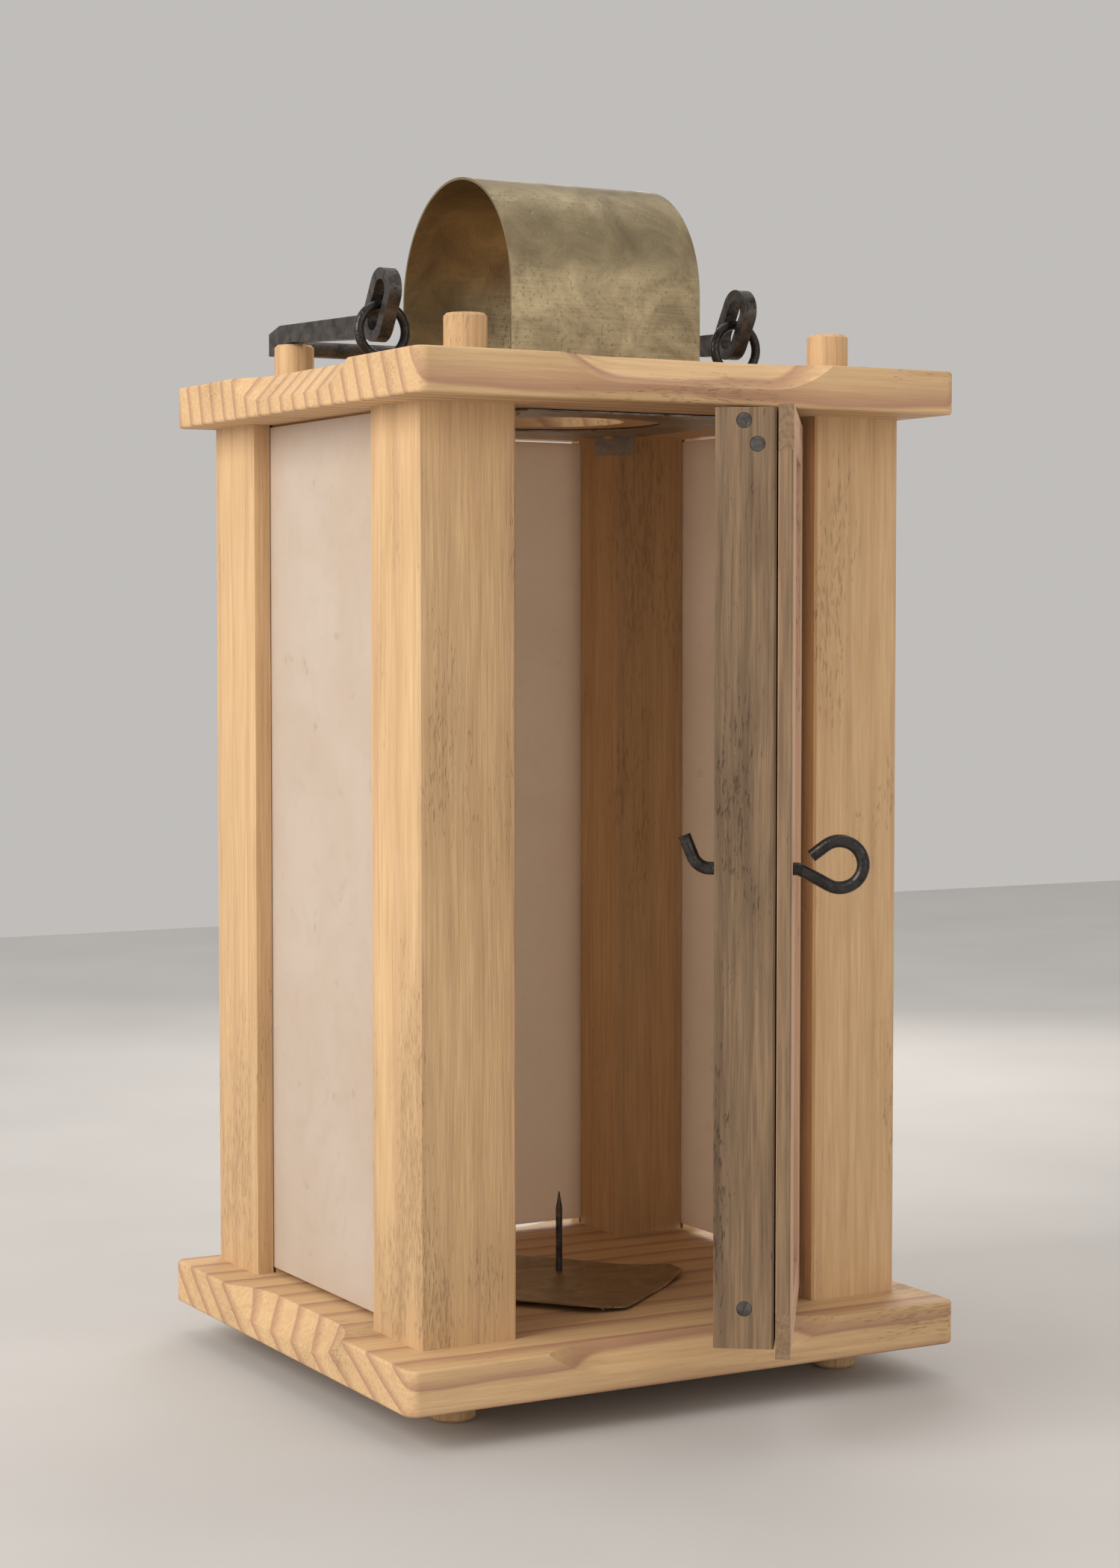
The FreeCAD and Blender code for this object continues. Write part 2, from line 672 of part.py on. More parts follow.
tray_tacks = []
for index, (side, end) in enumerate(POSTS.values()):
    inset = size("tray_side") / 2 - size("tray_tack_inset")
    local = Vector(side * inset, end * inset, 0)
    seat = TRAY_TURN.multVec(local) + tray_middle
    tack_hole(tray, "tray_tack_hole_%d" % index, local.x, local.y, 0, Rotation())
    tack_hole(base_board, "board_tray_tack_hole_%d" % index, seat.x, seat.y, base_top, Rotation())
    tray_tacks.append(tack("tray_tack_%d" % index,
                           Placement(seat + Vector(0, 0, size("tray_sheet")), Rotation())))
keep("candle_tray", tray)
group("tray_tacks", tray_tacks)

SPIKE_X = "tray_shift_x + spike_offset_x"
SPIKE_Y = "tray_shift_y + spike_offset_y"
rod(base_board, "Subtractive", "spike_hole", (SPIKE_X, SPIKE_Y, BASE_TOP + " - spike_depth - seat_gap"),
    "spike_radius + seat_gap", "spike_depth + cut_past")
spike = new_body("candle_spike")
rod(spike, "Additive", "spike_shank", (SPIKE_X, SPIKE_Y, BASE_TOP + " - spike_depth"),
    "spike_radius", "spike_depth + spike_height - spike_point")
point = spike.newObject("PartDesign::AdditiveCone", "spike_tip")
bind(point, "Radius1", "spike_radius")
bind(point, "Radius2", "spike_tip_radius")
bind(point, "Height", "spike_point")
place_feature(point, (SPIKE_X, SPIKE_Y, BASE_TOP + " + spike_height - spike_point"), Rotation())
keep("candle_spike", spike)
keep("base_board", base_board)
keep("top_board", top_board)


# ---------------------------------------------------------------- eyes for the bail

EYE_Z = "(%s + eye_clearance + eye_radius + eye_wire_radius)" % TOP_FACE
for side, x in EYES.items():
    body = new_body("bail_eye_" + side)
    rod(body, "Additive", "eye_shank_" + side, (x, EYE_Y, TOP_FACE + " - eye_depth"),
        "eye_wire_radius", "eye_depth + eye_clearance + eye_wire_radius")
    ring = body.newObject("PartDesign::AdditiveTorus", "eye_ring_" + side)
    bind(ring, "Radius1", "eye_radius")
    bind(ring, "Radius2", "eye_wire_radius")
    place_feature(ring, (x, EYE_Y, EYE_Z), ALONG_Y)
    keep("bail_eye_" + side, body)


# ---------------------------------------------------------------- bail

def stadium(length, width):
    """A round-ended slot outline about the origin, its length along Z, in the YZ plane."""
    radius = width / 2
    half = length / 2 - radius
    points = [Vector(0, -radius, -half), Vector(0, -radius, half), Vector(0, 0, half + radius),
              Vector(0, radius, half), Vector(0, radius, -half), Vector(0, 0, -half - radius)]
    edges = [
        Part.LineSegment(points[0], points[1]).toShape(),
        Part.Arc(points[1], points[2], points[3]).toShape(),
        Part.LineSegment(points[3], points[4]).toShape(),
        Part.Arc(points[4], points[5], points[0]).toShape(),
    ]
    return Part.Wire(edges)


pivot_z = top_face + size("eye_clearance") + 2 * size("eye_radius") + size("eye_wire_radius")
pivot_y = size("top_shift_y") + size("eye_shift_y")
bar = size("bail_bar")
loop_x = -size("eye_spread") / 2
# the rear dowels carry the arms, and the grip lies just behind them
rear_dowel_y = size("post_face_rear") - size("rear_left_depth") / 2 + size("top_rear_left_dy")
grip_y = rear_dowel_y + size("dowel_radius") + size("bail_rest_gap") + size("grip_radius") - pivot_y
arm_rear_low = top_face + size("dowel_projection") + size("bail_rest_gap") - pivot_z
arm_rear_high = arm_rear_low + size("arm_height")
arm_end_y = grip_y + size("grip_radius")
arm_root_y = size("loop_width") / 2 - size("arm_overlap")
bevel_y = arm_end_y - size("arm_bevel_length")
grip_z = (arm_rear_low + arm_rear_high) / 2 - size("grip_drop")

across = Vector(bar, 0, 0)
outer = stadium(size("loop_length"), size("loop_width"))
inner = stadium(size("loop_length") - 2 * size("loop_bar"), size("loop_width") - 2 * size("loop_bar"))
loop = Part.Face(outer).extrude(across).cut(Part.Face(inner).extrude(across))
loop.translate(Vector(loop_x - bar / 2, 0, 0))
loop.rotate(Vector(), Vector(1, 0, 0), size("loop_tilt_angle"))

grip_front = grip_y - size("grip_radius")
grip_foot = grip_z - size("grip_radius")
dowel_front = rear_dowel_y - size("dowel_radius") - size("bail_rest_gap") - pivot_y
outline = [
    (arm_root_y, -size("arm_root_drop") - size("arm_root_height") / 2),
    (dowel_front, arm_rear_low),
    (grip_front, arm_rear_low),
    (grip_front, grip_foot),
    (arm_end_y, grip_foot),
    (arm_end_y, arm_rear_high - size("arm_bevel")),
    (bevel_y, arm_rear_high),
    (arm_root_y, -size("arm_root_drop") + size("arm_root_height") / 2),
]
corners = [Vector(loop_x - bar / 2, y, z) for y, z in outline]
arm = Part.Face(Part.makePolygon(corners + corners[:1])).extrude(across)
side_left = loop.fuse(arm).removeSplitter()
side_right = side_left.translated(Vector(-2 * loop_x, 0, 0))
grip = Part.makeCylinder(size("grip_radius") - size("seat_gap"), -2 * loop_x, Vector(loop_x, grip_y,
    grip_z),
                         Vector(1, 0, 0))
bail_shape = grip.fuse([side_left, side_right])
bail = doc.addObject("Part::Feature", "bail")
bail.Shape = bail_shape.Solids[0] if len(bail_shape.Solids) == 1 else bail_shape
bail.Placement = Placement(Vector(size("top_shift_x") + size("eye_shift_x"), pivot_y, pivot_z), Rotation())
keep("bail", bail)


# ---------------------------------------------------------------- door

def door_piece(name, low, extent, rounded=False):
    """A lath of the door in the closed door's frame, whose origin is on the hinge axis."""
    body = new_body(name)
    blank = box(body, "Additive", name + "_lath", low, extent)
    if rounded:
        def outer_hinge_edge(edge):
            middle = edge.BoundBox.Center
            return upright(edge) and middle.x > size("hinge_inset") - 0.1 and middle.y < -size("hinge_depth") + 0.1
        ease(body, "Fillet", name + "_rounded", blank, outer_hinge_edge, "door_edge_radius")
    else:
        ease(body, "Chamfer", name + "_arrises", blank, upright, "door_arris")
    door_frame(body)
    return keep(name, body)


HINGE_STILE_X = "(hinge_inset - stile_width)"
INNER_RAIL_X = "(hinge_inset - door_width + stile_width)"
RAIL_LENGTH = "(door_width - 2 * stile_width)"
FACE_FOOT = "(%s - face_below)" % DOOR_FOOT
FACE_HEIGHT = "(%s + face_below + face_above)" % DOOR_HEIGHT
FACE_RAIL_TOP = "(%s + face_above - face_rail_height)" % DOOR_HEAD
FACE_STILE_HEIGHT = "(%s - 2 * face_rail_height)" % FACE_HEIGHT

latch_stile = door_piece("door_stile_latch", (FREE_EDGE, STILE_FACE, DOOR_FOOT),
                         ("stile_width", "stile_thickness", DOOR_HEIGHT))
hinge_stile = door_piece("door_stile_hinge", (HINGE_STILE_X, STILE_FACE, DOOR_FOOT),
                         ("stile_width", "stile_thickness", DOOR_HEIGHT))
rail_top = door_piece("door_rail_top", (INNER_RAIL_X, STILE_FACE, DOOR_HEAD + " - inner_rail_height"),
                      (RAIL_LENGTH, "stile_thickness", "inner_rail_height"))
rail_bottom = door_piece("door_rail_bottom", (INNER_RAIL_X, STILE_FACE, DOOR_FOOT),
                         (RAIL_LENGTH, "stile_thickness", "inner_rail_height"))
door_piece("door_face_rail_top", (FREE_EDGE, "-hinge_depth", FACE_RAIL_TOP),
           ("door_width", "face_thickness", "face_rail_height"), rounded=True)
door_piece("door_face_rail_bottom", (FREE_EDGE, "-hinge_depth", FACE_FOOT),
           ("door_width", "face_thickness", "face_rail_height"), rounded=True)
face_latch = door_piece("door_face_stile_latch", (FREE_EDGE, "-hinge_depth",
    FACE_FOOT + " + face_rail_height"),
                        ("stile_width", "face_thickness", FACE_STILE_HEIGHT))
door_piece("door_face_stile_hinge", (HINGE_STILE_X, "-hinge_depth", FACE_FOOT + " + face_rail_height"),
           ("stile_width", "face_thickness", FACE_STILE_HEIGHT), rounded=True)

door_pane = new_body("door_pane")
box(door_pane, "Additive", "door_pane_sheet",
    (INNER_RAIL_X + " - door_pane_lap", "face_thickness - hinge_depth",
     DOOR_FOOT + " + inner_rail_height - door_pane_lap"),
    (RAIL_LENGTH + " + 2 * door_pane_lap", "door_pane_thickness",
     DOOR_HEIGHT + " - 2 * inner_rail_height + 2 * door_pane_lap"))
door_frame(door_pane)
keep("door_pane", door_pane)

# sockets for the hinge pins in the hinge stile
rod(hinge_stile, "Subtractive", "upper_pin_socket", ("0", "0", DOOR_HEAD + " + cut_past"),
    "pin_radius + running_gap", "pin_depth + cut_past", DOWN)
rod(hinge_stile, "Subtractive", "lower_pin_socket", ("0", "0", DOOR_FOOT + " - cut_past"),
    "pin_radius + running_gap", "pin_depth + cut_past")

# the latch wire's hole through the free stile
for body, name in ((latch_stile, "latch_hole"), (face_latch, "latch_hole_in_face")):
    rod(body, "Subtractive", name, (LATCH_X, "-hinge_depth - cut_past", LATCH_Z),
        "latch_wire_radius + running_gap", "face_thickness + door_pane_thickness + stile_thickness + 2 * cut_past", ALONG_Y)

# nails driven through the free edge into the ends of the rails
NAILS = {
    "upper": (rail_top, DOOR_HEAD + " - nail_upper_drop", "nail_upper_in"),
    "lower": (rail_top, DOOR_HEAD + " - nail_lower_drop", "nail_lower_in"),
    "bottom": (rail_bottom, DOOR_FOOT + " + nail_bottom_rise", "nail_bottom_in"),
}
door_nails = []
for place, (rail, height, inward) in NAILS.items():
    depth = "%s - %s" % (INNER_FACE, inward)
    for body in (latch_stile, rail):
        rod(body, "Subtractive", "nail_hole_%s_%s" % (place, body.Name), (FREE_EDGE + " - cut_past",
            depth, height),
            "nail_radius + seat_gap", "nail_length + cut_past + nail_sink + seat_gap", ALONG_X)
    rod(latch_stile, "Subtractive", "nail_seat_" + place, (FREE_EDGE + " - cut_past", depth, height),
        "nail_head_radius + nail_head_gap", "cut_past + nail_sink + nail_head_height", ALONG_X)
    body = new_body("door_nail_" + place)
    rod(body, "Additive", "nail_shank_" + place, (FREE_EDGE + " + nail_sink", depth, height),
        "nail_radius", "nail_length", ALONG_X)
    head = rod(body, "Additive", "nail_head_" + place, (FREE_EDGE + " + nail_sink", depth, height),
               "nail_head_radius", "nail_head_height", ALONG_X)
    door_frame(body)
    door_nails.append(body)
group("door_nails", door_nails)

# hinge pins: nails driven through the boards into the stile's ends
for name, start, length, turn, head_at in (
        ("hinge_pin_top", TOP_FACE, "top_thickness + door_head_gap + pin_depth - pin_end_room", DOWN,
            TOP_FACE),
        ("hinge_pin_bottom", "foot_height", "base_thickness + door_foot_gap + pin_depth - pin_end_room",
            Rotation(),
         "foot_height - pin_head_height")):
    body = new_body(name)
    rod(body, "Additive", name + "_shank", (HINGE_X, HINGE_Y, start), "pin_radius", length, turn)
    rod(body, "Additive", name + "_head", (HINGE_X, HINGE_Y, head_at), "pin_head_radius", "pin_head_height")
    keep(name, body)


# ---------------------------------------------------------------- latch wire

wire_radius = size("latch_wire_radius")


def tangent_point(centre, radius, start, side):
    """Where a straight line from start touches a circle in the wire's plane, on the given side."""
    reach = centre - start
    away = math.atan2(reach.z, reach.y)
    spread = side * math.asin(radius / reach.Length)
    run = math.sqrt(reach.Length ** 2 - radius ** 2)
    return start + Vector(0, run * math.cos(away + spread), run * math.sin(away + spread))


def bend(before, corner_point, after, radius):
    """The arc that rounds a corner between two straight runs, with the points where it starts and ends."""
    back = (before - corner_point).normalize()
    ahead = (after - corner_point).normalize()
    half = back.getAngle(ahead) / 2
    inset = radius / math.tan(half)
    first = corner_point + back * inset
    last = corner_point + ahead * inset
    middle = corner_point + (back + ahead).normalize() * (radius / math.sin(half) - radius)
    return first, middle, last


latch_x = size("hinge_inset") - size("door_width") + size("latch_edge")
latch_z = base_top + size("door_foot_gap") + size("latch_height")


def wire_point(inward, rise):
    """A point in the upright plane that holds the latch's axis."""
    return Vector(latch_x, inward, latch_z + rise)


outer_face = -size("hinge_depth")
inner_face = size("face_thickness") + size("door_pane_thickness") + size("stile_thickness") - size("hinge_depth")
eye_centre = wire_point(outer_face - size("latch_eye_reach"), size("latch_eye_rise"))
neck = wire_point(outer_face - size("latch_neck"), 0)
free_end = wire_point(outer_face - size("latch_end_reach"), size("latch_end_rise"))
eye_radius = size("latch_eye_radius")
low_touch = tangent_point(eye_centre, eye_radius, neck, 1)
high_touch = tangent_point(eye_centre, eye_radius, free_end, -1)
far_point = eye_centre + Vector(0, -eye_radius, 0)
hook_start = wire_point(inner_face + size("hook_straight"), 0)
hook_angle = math.radians(size("hook_bend_angle"))
bend_radius = size("hook_bend_radius")
hook_middle = hook_start + Vector(0, bend_radius * math.sin(hook_angle / 2),
    bend_radius * (1 - math.cos(hook_angle / 2)))
hook_end = hook_start + Vector(0, bend_radius * math.sin(hook_angle),
    bend_radius * (1 - math.cos(hook_angle)))
tip = hook_end + Vector(0, math.cos(hook_angle), math.sin(hook_angle)) * size("hook_tip")
neck_first, neck_middle, neck_last = bend(hook_start, neck, low_touch, size("latch_neck_bend"))
path = Part.Wire([
    Part.LineSegment(tip, hook_end).toShape(),
    Part.Arc(hook_end, hook_middle, hook_start).toShape(),
    Part.LineSegment(hook_start, neck_first).toShape(),
    Part.Arc(neck_first, neck_middle, neck_last).toShape(),
    Part.LineSegment(neck_last, low_touch).toShape(),
    Part.Arc(low_touch, far_point, high_touch).toShape(),
    Part.LineSegment(high_touch, free_end).toShape(),
])
profile = Part.Wire([Part.makeCircle(wire_radius, tip, (hook_end - tip))])
latch_shape = path.makePipeShell([profile], True, True)
latch = doc.addObject("Part::Feature", "latch_wire")
latch.Shape = latch_shape
door_frame(latch)
keep("latch_wire", latch)


# ---------------------------------------------------------------- checks and export

doc.recompute()
for item in doc.Objects:
    if "Invalid" in item.State or "Error" in item.State:
        raise RuntimeError("failed object: %s %s" % (item.Name, item.State))
for name, item in parts.items():
    if item.Shape.isNull() or not item.Shape.isValid() or not item.Shape.Solids:
        raise RuntimeError("bad shape: " + name)
total = 0
for name, item in sorted(parts.items()):
    item.Shape.exportStep("parts/%s.step" % name)
    total += len(item.Shape.Solids)
    box_size = item.Shape.BoundBox
    print("%-24s %d solid(s)  %7.1f %7.1f %7.1f  to %7.1f %7.1f %7.1f" % (
        name, len(item.Shape.Solids), box_size.XMin, box_size.YMin, box_size.ZMin,
        box_size.XMax, box_size.YMax, box_size.ZMax))
print("%d sub-parts, %d solids" % (len(parts), total))
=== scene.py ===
# %% [markdown]
# # Dressing a wooden candle lantern
# This lesson dresses a small lantern for one candle: four posts between two boards, parchment
# panes, a door at the front, a brass hood above the flame and an iron bail to carry it by.
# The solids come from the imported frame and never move. Each gets a procedural material, one
# thin sheet is bent anew, and a pale studio and a camera at the photograph's angle are set up.
# All lengths are in metres.

# %% Load the frame
import math
import bpy
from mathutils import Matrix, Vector


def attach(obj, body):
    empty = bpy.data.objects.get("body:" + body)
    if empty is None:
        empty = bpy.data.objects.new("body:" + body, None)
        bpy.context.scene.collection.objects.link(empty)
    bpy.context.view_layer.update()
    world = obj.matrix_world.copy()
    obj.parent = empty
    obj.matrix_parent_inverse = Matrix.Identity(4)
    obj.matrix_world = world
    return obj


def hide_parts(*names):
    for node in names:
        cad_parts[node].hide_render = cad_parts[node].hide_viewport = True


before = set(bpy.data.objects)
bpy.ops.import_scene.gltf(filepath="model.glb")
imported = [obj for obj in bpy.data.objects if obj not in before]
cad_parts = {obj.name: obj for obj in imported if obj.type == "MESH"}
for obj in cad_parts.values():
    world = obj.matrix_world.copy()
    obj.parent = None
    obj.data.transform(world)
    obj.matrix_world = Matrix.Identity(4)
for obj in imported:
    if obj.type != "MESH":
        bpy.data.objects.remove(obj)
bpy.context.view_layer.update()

# %% [markdown]
# ## Small helpers
# A material is a tree of nodes, and wiring one by hand takes several lines for each node. A
# helper makes a node and fills its inputs in one go: a socket is linked, and a plain number is
# set on the input itself. Plain numbers stay unlinked, so that an exporter can read them there.

# %% Node helper
def node(tree, kind, inputs=None, **settings):
    """A new shader node with its settings made and its inputs linked or set."""
    made = tree.nodes.new("ShaderNode" + kind)
    for key, value in settings.items():
        setattr(made, key, value)
    for key, value in (inputs or {}).items():
        if isinstance(value, bpy.types.NodeSocket):
            tree.links.new(value, made.inputs[key])
        else:
            made.inputs[key].default_value = value
    return made


print("helper ready: node")

# %% [markdown]
# Masks are bent into shape with ramps and with sums, and colours are then laid over each other
# through the masks, the way a painter glazes. Each of these steps has a helper.

# %% Ramp, mask and sum helpers
def ramp(tree, value, *stops):
    """Colours along the value, given as (place, colour) stops."""
    made = node(tree, "ValToRGB", {0: value})
    band = made.color_ramp
    while len(band.elements) < len(stops):
        band.elements.new(0.5)
    for element, (place, colour) in zip(band.elements, stops):
        element.position = place
        element.color = (*colour, 1.0)
    return made.outputs[0]


def grey(tree, value, *stops):
    """A grey level along the value, given as (place, level) stops."""
    return ramp(tree, value, *[(place, (level,) * 3) for place, level in stops])


def rise(tree, value, begin, end):
    """0 up to the first level, 1 from the second one on, and a slope between them."""
    return node(tree, "MapRange", {0: value, 1: begin, 2: end}).outputs[0]


def maths(tree, operation, first, second):
    return node(tree, "Math", {0: first, 1: second}, operation=operation).outputs[0]


print("helpers ready: ramp, grey, rise, maths")

# %% Colour mix helper
FACTOR_IN, FIRST_IN, SECOND_IN, COLOUR_OUT = 0, 6, 7, 2  # a Mix node's sockets for colours


def mixed(tree, factor, first, second):
    """The first colour where the factor is 0, and the second where it is 1."""
    made = tree.nodes.new("ShaderNodeMix")
    made.data_type = "RGBA"
    for place, value in ((FACTOR_IN, factor), (FIRST_IN, first), (SECOND_IN, second)):
        if isinstance(value, bpy.types.NodeSocket):
            tree.links.new(value, made.inputs[place])
        else:
            made.inputs[place].default_value = (*value, 1.0)
    return made.outputs[COLOUR_OUT]


def shaded(colour, share):
    return [part * share for part in colour]


print("helpers ready: mixed, shaded")

# %% [markdown]
# ## Groups of fields
# Sixteen pieces of timber have grain, but no two share a colour and a place in the tree. Copying
# the grain's nodes into every material would make sixteen trees to mend. A node group keeps the
# grain in one place, and each material asks it for the same masks with values of its own. A
# group gives only masks and heights, and the colours stay in the material.

# %% Group helpers
def group(name, values, results):
    """A node group with a vector input, the named float inputs and the named float outputs."""
    tree = bpy.data.node_groups.new(name, "ShaderNodeTree")
    tree.interface.new_socket("Vector", in_out="INPUT", socket_type="NodeSocketVector")
    for label, value in values.items():
        socket = tree.interface.new_socket(label, in_out="INPUT", socket_type="NodeSocketFloat")
        socket.default_value = value
    for label in results:
        tree.interface.new_socket(label, in_out="OUTPUT", socket_type="NodeSocketFloat")
    given = tree.nodes.new("NodeGroupInput").outputs
    result = tree.nodes.new("NodeGroupOutput").inputs
    return tree, given, result


def deliver(tree, result, **values):
    """Link each value to the group's output of that name."""
    for label, value in values.items():
        tree.links.new(value, result[label])


print("helpers ready: group, deliver")

# %% [markdown]
# Almost every mark on this lantern is noise: clouds when it is even, fibres and scratches when
# it is pulled out along one axis. A fourth coordinate works as a seed, so that two pieces of
# the same timber don't repeat each other.

# %% Noise helpers
def noise(tree, vector, seed=None, **inputs):
    """Noise over the vector. Inputs have the names of the node's own sockets."""
    values = {"Vector": vector, **inputs}
    if seed is None:
        return node(tree, "TexNoise", values).outputs[0]
    return node(tree, "TexNoise", {**values, "W": seed}, noise_dimensions="4D").outputs[0]


def pulled(tree, vector, factors):
    """The vector times one factor for each axis. Marks come out long where it is smallest."""
    return node(tree, "VectorMath", {0: vector, 1: factors}, operation="MULTIPLY").outputs[0]


print("helpers ready: noise, pulled")

# %% [markdown]
# ## Timber as a solid texture
# A board is coloured through its whole thickness. A picture of grain wrapped round it would
# show the same lines on the face and on the sawn end, which real timber never does. Here the
# rings are circles round a far-off pith in space, so that one field gives long lines on a face
# and stripes across the end grain.

# %% Timber fields: rings
PITH_OFFSET = (0.0, 0.21, -0.36)  # from a piece's own origin to the middle of its tree
timber, given, result = group(
    "TimberFields", {"Ring scale": 39.0, "Ring wander": 2.0, "Seed": 0.0},
    ["Rings", "Fibre", "Mottle", "Fleck", "Height"])
from_pith = node(timber, "VectorMath", {0: given["Vector"], 1: PITH_OFFSET},
                 operation="ADD").outputs[0]
rings = node(
    timber, "TexWave",
    {"Vector": from_pith, "Scale": given["Ring scale"], "Distortion": given["Ring wander"],
     "Detail": 2.0, "Detail Scale": 0.35, "Phase Offset": given["Seed"]},
    wave_type="RINGS", rings_direction="X", wave_profile="SAW").outputs["Fac"]
print("ring centre lies at mm:", [round(1000 * part) for part in PITH_OFFSET])

# %% [markdown]
# Between the rings lie three finer marks. Fibres are hair-thin and long. Mottle is the soft
# change from handling and weather. Flecks are where a tool tore the fibres out, and they
# gather where the mottle is strong. Fibres stand proud and flecks lie deep, which makes the
# height for the bump.

# %% Timber fields: fibre, mottle and fleck
FIBRE_PULL, MOTTLE_PULL, TORN_PULL = (35.0, 900.0, 900.0), (14.0, 60.0, 60.0), (260.0, 1500.0, 1500.0)
FLECK_BEGIN, FLECK_END = 0.345, 0.43

fibre = noise(timber, pulled(timber, given["Vector"], FIBRE_PULL), given["Seed"],
              Scale=1.0, Detail=5.0, Roughness=0.62)
mottle = noise(timber, pulled(timber, given["Vector"], MOTTLE_PULL), given["Seed"],
               Scale=1.0, Detail=4.0)
torn = noise(timber, pulled(timber, given["Vector"], TORN_PULL), given["Seed"],
             Scale=1.0, Detail=2.0)
fleck = rise(timber, maths(timber, "MULTIPLY", torn, mottle), FLECK_BEGIN, FLECK_END)
deliver(timber, result, Rings=rings, Fibre=fibre, Mottle=mottle, Fleck=fleck,
        Height=maths(timber, "SUBTRACT", fibre, fleck))
print("timber outputs:",
      [item.name for item in timber.interface.items_tree if item.in_out == "OUTPUT"])

# %% [markdown]
# ## Patina
# Old brass and forged iron tarnish in clouds, with small dark specks where damp has sat and
# fine scratches from handling. Three noises of different size give these three marks. The same
# group serves the hood, the tacks, the bail and the nails, with a scale that suits their size.

# %% Patina fields
SPECK_GRAIN, SCRATCH_PULL = 900.0, (60.0, 1500.0, 1500.0)
patina, given, result = group("PatinaFields", {"Scale": 60.0}, ["Cloud", "Speck", "Scratch", "Height"])
cloud = noise(patina, given["Vector"], Scale=given["Scale"], Detail=6.0, Roughness=0.65,
              Distortion=0.6)
speck = rise(patina, noise(patina, given["Vector"], Scale=SPECK_GRAIN, Detail=3.0), 0.60, 0.70)
scratch = noise(patina, pulled(patina, given["Vector"], SCRATCH_PULL), Scale=1.0, Detail=3.0)
deliver(patina, result, Cloud=cloud, Speck=speck, Scratch=scratch,
        Height=maths(patina, "SUBTRACT", cloud, speck))
print("patina nodes:", len(patina.nodes))

# %% [markdown]
# ## Parchment
# The panes look like scraped skin or oiled paper: broad warm clouds, faint veins and small
# brown specks. A cell pattern adds the slight pebbling that such a sheet has. Modelling the
# pebbles would take a great many faces for a depth of a few hundredths of a millimetre, so
# they stay in the bump.

# %% Parchment fields
PEBBLE_SCALE, VEIN_SCALE, SPOT_SCALE = 260.0, 70.0, 160.0
skin, given, result = group("ParchmentFields", {"Scale": 18.0}, ["Cloud", "Vein", "Speck", "Height"])
cloud = noise(skin, given["Vector"], Scale=given["Scale"], Detail=5.0, Roughness=0.55,
              Distortion=0.8)
pebbles = node(skin, "TexVoronoi", {"Vector": given["Vector"], "Scale": PEBBLE_SCALE},
               feature="SMOOTH_F1").outputs[0]
vein = noise(skin, given["Vector"], Scale=VEIN_SCALE, Detail=8.0, Distortion=2.5)
speck = rise(skin, noise(skin, given["Vector"], Scale=SPOT_SCALE, Detail=4.0), 0.66, 0.74)
deliver(skin, result, Cloud=cloud, Vein=vein, Speck=speck,
        Height=maths(skin, "ADD", pebbles, vein))
print("groups:", [tree.name for tree in bpy.data.node_groups])

# %% [markdown]
# ## What every material shares
# Each material starts from the Principled shader and the object's own coordinates, which stay
# with the piece when the door or the bail turns. Relief goes in as a bump, with its depth in
# metres, because planed timber and beaten sheet are rough only by fractions of a millimetre.

# %% Start and relief helpers
def start(name):
    """A new material with its tree, its surface shader and the object's own coordinates."""
    material = bpy.data.materials.new(name)
    material.use_nodes = True
    tree = material.node_tree
    shader = tree.nodes["Principled BSDF"]
    coords = node(tree, "TexCoord").outputs["Object"]
    return material, tree, shader, coords


def relief_bump(tree, shader, value, depth, strength):
    bump = node(tree, "Bump", {"Height": value, "Distance": depth, "Strength": strength})
    tree.links.new(bump.outputs[0], shader.inputs["Normal"])


print("helpers ready: start, relief_bump")

# %% [markdown]
# ## Timber materials
# One function makes every timber. It first turns the coordinates so that the grain runs along
# the first axis. Then it lays streaks, late wood, wear and torn flecks over each other, from
# the palest to the darkest, which is the order in which they came to be on the real board.
# The strips at the door's free edge turn brown there, by their place across the door.

# %% Timber maker
GRAIN_TURNS = {"x": (0.0, 0.0, 0.0), "z": (0.0, math.pi / 2, 0.0)}
WORN_SHADE, TORN_SHADE = 0.62, 0.45  # as shares of the dark grain colour
TIMBER_SHEEN, TIMBER_RELIEF = 0.32, 0.55


